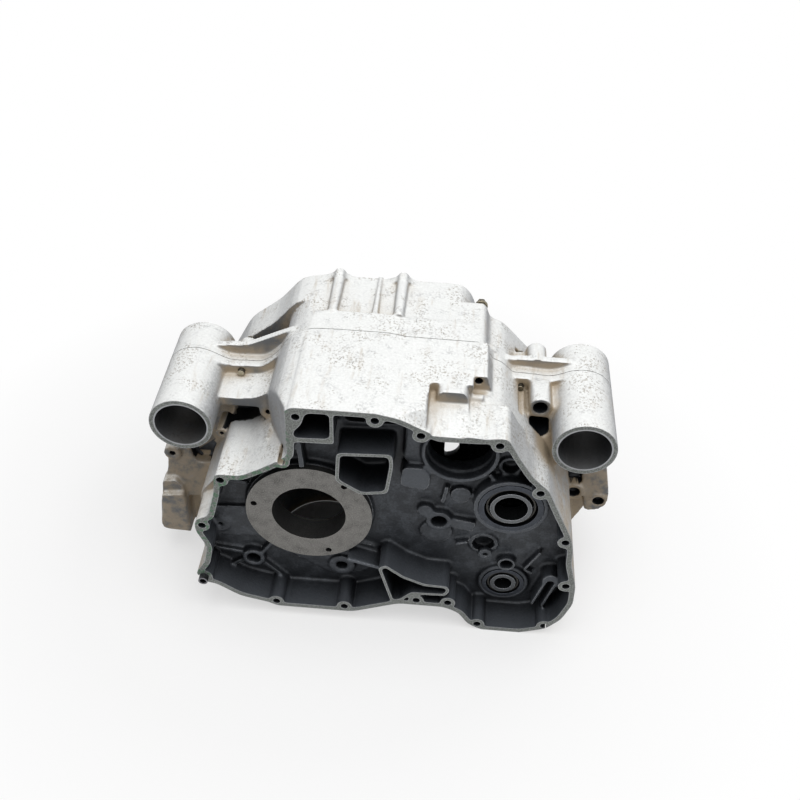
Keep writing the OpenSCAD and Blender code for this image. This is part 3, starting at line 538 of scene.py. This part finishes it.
def cast_skin(node, cuts, screws, sizes):
    """A copy of a casting with soft cast edges and corners, and crisp milled faces."""
    piece = copy_of(node, node.replace("case", "casting"))
    stand_proud(piece.data, cuts, sizes.spare)
    modify(piece, "REMESH", mode="VOXEL", voxel_size=sizes.grain)
    modify(piece, "SMOOTH", factor=0.5, iterations=sizes.passes)
    modify(piece, "TRIANGULATE")
    modify(piece, "DECIMATE", ratio=min(1.0, sizes.faces / len(piece.data.polygons)))
    for each in cuts:
        mill(piece, each, sizes.spare)
    if screws:
        open_mouths(piece, screws, sizes.mouth, cuts[0]["place"])
    modify(piece, "TRIANGULATE")
    piece.data.materials.clear()
    piece.data.polygons.foreach_set("material_index", np.zeros(len(piece.data.polygons), np.int32))
    return piece


class OBJECT_OT_crankcase_castings(bpy.types.Operator):
    """Finishes both cast halves"""
    bl_idname = "object.crankcase_castings"
    bl_label = "Castings"

    def execute(self, context):
        finish = cast_finish()
        sizes = context.scene.crankcase_sizes
        for node, ends in (("clutch_side_case", (-0.074, -1)), ("generator_side_case", (0.038, 1))):
            low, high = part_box(node)
            cuts = [cut(1, low.y, -1), cut(1, high.y, 1), cut(2, cad_box[0].z, -1)]
            cuts += [cut(1, *ends, (*tube, 0.0295)) for tube in TUBES]
            screws = COVER_SCREWS if node == "clutch_side_case" else ()
            piece = cast_skin(node, cuts, screws, sizes)
            mesh = piece.data
            milled = milled_faces(mesh, cuts)
            gaps = 0 if node == "clutch_side_case" else 1
            inside = walled_in(mesh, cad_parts[node].data, milled, gaps)
            save(mesh, "inside", inside * (1.0 - 0.16 * near_axes(mesh, TUBES, 0.0255)))
            save(mesh, "milled", milled)
            mesh.materials.append(finish)
            pick(piece)
            bpy.ops.object.shade_smooth_by_angle(angle=math.radians(35))
            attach(piece, "case")
            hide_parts(node)
        return {"FINISHED"}


class OBJECT_OT_crankcase_steel(bpy.types.Operator):
    """Finishes the bearing carrier, the sleeve, the dowels and the bolts"""
    bl_idname = "object.crankcase_steel"
    bl_label = "Steel parts"

    def execute(self, context):
        tones = colours()
        carrier = steel_finish("carrier_steel", tones.steel, 0.42, 0.6, 0.6, glint=2.4)
        dowel = steel_finish("dowel_steel", [0.16, 0.16, 0.17], 0.35, 0.6)
        bolt = steel_finish("bolt_steel", [0.40, 0.36, 0.27], 0.35, 0.5)
        for node in ("crank_bearing_carrier", "crank_bearing_sleeve"):
            dress(node, carrier)
        for node in ("cover_dowel_sleeve", "case_dowels"):
            dress(node, dowel)
        for node in ("short_case_bolts", "long_case_bolts"):
            dress(node, bolt)
        return {"FINISHED"}


class OBJECT_OT_crankcase_bearings(bpy.types.Operator):
    """Finishes the races, balls and cages of the four bearings"""
    bl_idname = "object.crankcase_bearings"
    bl_label = "Bearings"

    def execute(self, context):
        tones = colours()
        outer = steel_finish("outer_race_steel", tones.dull, 0.34, 0.5, glint=4.0)
        inner = steel_finish("inner_race_steel", tones.bright, 0.28, 0.4, glint=8.0)
        ball = steel_finish("ball_steel", tones.bright, 0.12, 0.2, 0.9)
        cage = steel_finish("cage_steel", [0.05, 0.048, 0.044], 0.4, 0.5)
        for name in BEARINGS:
            dress(name + "_outer_race", outer)
            dress(name + "_inner_race", inner)
            dress(name + "_balls", ball)
            dress(name + "_cage", cage)
        return {"FINISHED"}


class OBJECT_OT_crankcase_seals(bpy.types.Operator):
    """Finishes the gasket of the joint and the oil seal"""
    bl_idname = "object.crankcase_seals"
    bl_label = "Gasket and seal"

    def execute(self, context):
        dress("joint_gasket", soft_finish("joint_gasket_paper", [0.035, 0.035, 0.035], 0.6))
        dress("layshaft_oil_seal", soft_finish("oil_seal_rubber", [0.02, 0.02, 0.02], 0.5))
        return {"FINISHED"}


def white_for_camera(tree, lit, share, mouth=0.0):
    """Mixes a lit surface with plain white, for the camera and for reflections alone.

    A floor is only lit within the cylinder's mouth, takes this share of white round the part, so
    that the shadow shows, and is white further out."""
    path = tree.nodes.new("ShaderNodeLightPath")
    seen = tree.nodes.new("ShaderNodeMath")
    seen.operation = "MAXIMUM"
    glow = tree.nodes.new("ShaderNodeEmission")
    blend = tree.nodes.new("ShaderNodeMixShader")
    link = tree.links.new
    link(path.outputs["Is Camera Ray"], seen.inputs[0])
    link(path.outputs["Is Glossy Ray"], seen.inputs[1])
    factor = seen.outputs[0]
    if mouth:
        place = tree.nodes.new("ShaderNodeTexCoord")
        reach = tree.nodes.new("ShaderNodeVectorMath")
        reach.operation = "LENGTH"
        link(place.outputs["Object"], reach.inputs[0])
        for near, far, low in ((mouth, mouth + 0.004, 0.0), (0.25, 0.48, share)):
            ramp = tree.nodes.new("ShaderNodeMapRange")
            ramp.inputs["From Min"].default_value = near
            ramp.inputs["From Max"].default_value = far
            ramp.inputs["To Min"].default_value = low
            weigh = tree.nodes.new("ShaderNodeMath")
            weigh.operation = "MULTIPLY"
            link(reach.outputs["Value"], ramp.inputs["Value"])
            link(ramp.outputs["Result"], weigh.inputs[0])
            link(factor, weigh.inputs[1])
            factor = weigh.outputs[0]
    link(factor, blend.inputs[0])
    link(lit, blend.inputs[1])
    link(glow.outputs[0], blend.inputs[2])
    return blend.outputs[0]


class OBJECT_OT_crankcase_stage(bpy.types.Operator):
    """Lays the floor and sets the lamps, the sky and the camera"""
    bl_idname = "object.crankcase_stage"
    bl_label = "Stage"

    def execute(self, context):
        stage = context.scene.crankcase_stage
        context.scene.view_settings.view_transform = "Standard"
        self.floor(stage)
        self.sky(context.scene, stage)
        self.lamp("lamp_overhead", (0.25, -0.35, 1.7), (0.06, 0.0, 0.0), 1.6, stage.lamp)
        self.lamp("lamp_front", (-0.3, -1.6, 0.7), (0.06, 0.0, 0.0), 1.2, stage.fill)
        self.camera(context.scene, stage)
        return {"FINISHED"}

    def floor(self, stage):
        bpy.ops.object.select_all(action="DESELECT")
        bpy.ops.mesh.primitive_plane_add(size=stage.floor, location=(0.0, 0.0, cad_box[0].z - 0.0002))
        plane = bpy.context.object
        plane.name = "studio_floor"
        paper = bpy.data.materials.new("floor_paper")
        paper.use_nodes = True
        tree = paper.node_tree
        shader = tree.nodes["Principled BSDF"]
        shader.inputs["Base Color"].default_value = (0.86, 0.86, 0.86, 1.0)
        shader.inputs["Roughness"].default_value = 0.8
        shown = white_for_camera(tree, shader.outputs[0], 0.55, 0.046)
        tree.links.new(shown, tree.nodes["Material Output"].inputs["Surface"])
        plane.data.materials.append(paper)

    def sky(self, scene, stage):
        world = bpy.data.worlds.new("studio_sky")
        scene.world = world
        world.use_nodes = True
        tree = world.node_tree
        dim = tree.nodes["Background"]
        dim.inputs["Color"].default_value = (1.0, 1.0, 1.0, 1.0)
        dim.inputs["Strength"].default_value = stage.sky
        shown = white_for_camera(tree, dim.outputs[0], 1.0, 0.0)
        tree.links.new(shown, tree.nodes["World Output"].inputs["Surface"])

    def lamp(self, name, place, target, size, power):
        data = bpy.data.lights.new(name, "AREA")
        data.shape = "DISK"
        data.size = size
        data.energy = power
        made = bpy.data.objects.new(name, data)
        bpy.context.scene.collection.objects.link(made)
        made.location = place
        away = Vector(place) - Vector(target)
        made.rotation_mode = "QUATERNION"
        made.rotation_quaternion = away.to_track_quat("Z", "Y")

    def camera(self, scene, stage):
        yaw, pitch, roll = stage.yaw, stage.pitch, stage.roll
        ahead = Vector((math.sin(yaw) * math.cos(pitch), math.cos(yaw) * math.cos(pitch),
                        -math.sin(pitch)))
        level = Vector((math.cos(yaw), -math.sin(yaw), 0.0))
        down = ahead.cross(level)
        right = math.cos(roll) * level + math.sin(roll) * down
        up = math.sin(roll) * level - math.cos(roll) * down
        data = bpy.data.cameras.new("photo_camera")
        data.lens = stage.lens
        data.sensor_width = 36.0
        data.clip_start = 0.01
        made = bpy.data.objects.new("photo_camera", data)
        scene.collection.objects.link(made)
        turn = Matrix((right, up, -ahead)).transposed().to_4x4()
        made.matrix_world = Matrix.Translation(stage.place) @ turn
        scene.camera = made


OPERATORS = (OBJECT_OT_crankcase_stage, OBJECT_OT_crankcase_castings, OBJECT_OT_crankcase_steel,
             OBJECT_OT_crankcase_bearings, OBJECT_OT_crankcase_seals)


class VIEW3D_PT_crankcase(bpy.types.Panel):
    """Lists the crankcase's operators"""
    bl_label = "Crankcase"
    bl_space_type = "VIEW_3D"
    bl_region_type = "UI"
    bl_category = "Crankcase"

    def draw(self, context):
        for operator in OPERATORS:
            self.layout.operator(operator.bl_idname)
        for group in (context.scene.crankcase_sizes, context.scene.crankcase_colours,
                      context.scene.crankcase_stage):
            for name in group.bl_rna.properties.keys()[2:]:
                self.layout.prop(group, name)


GROUPS = (CrankcaseSizes, CrankcaseColours, CrankcaseStage)


def register():
    for made in GROUPS + OPERATORS + (VIEW3D_PT_crankcase,):
        bpy.utils.register_class(made)
    bpy.types.Scene.crankcase_sizes = PointerProperty(type=CrankcaseSizes)
    bpy.types.Scene.crankcase_colours = PointerProperty(type=CrankcaseColours)
    bpy.types.Scene.crankcase_stage = PointerProperty(type=CrankcaseStage)


def unregister():
    for made in reversed(GROUPS + OPERATORS + (VIEW3D_PT_crankcase,)):
        bpy.utils.unregister_class(made)
    del bpy.types.Scene.crankcase_sizes
    del bpy.types.Scene.crankcase_colours
    del bpy.types.Scene.crankcase_stage


def main():
    register()
    bpy.ops.object.crankcase_stage()
    bpy.ops.object.crankcase_castings()
    bpy.ops.object.crankcase_steel()
    bpy.ops.object.crankcase_bearings()
    bpy.ops.object.crankcase_seals()


if __name__ == "__main__":
    main()
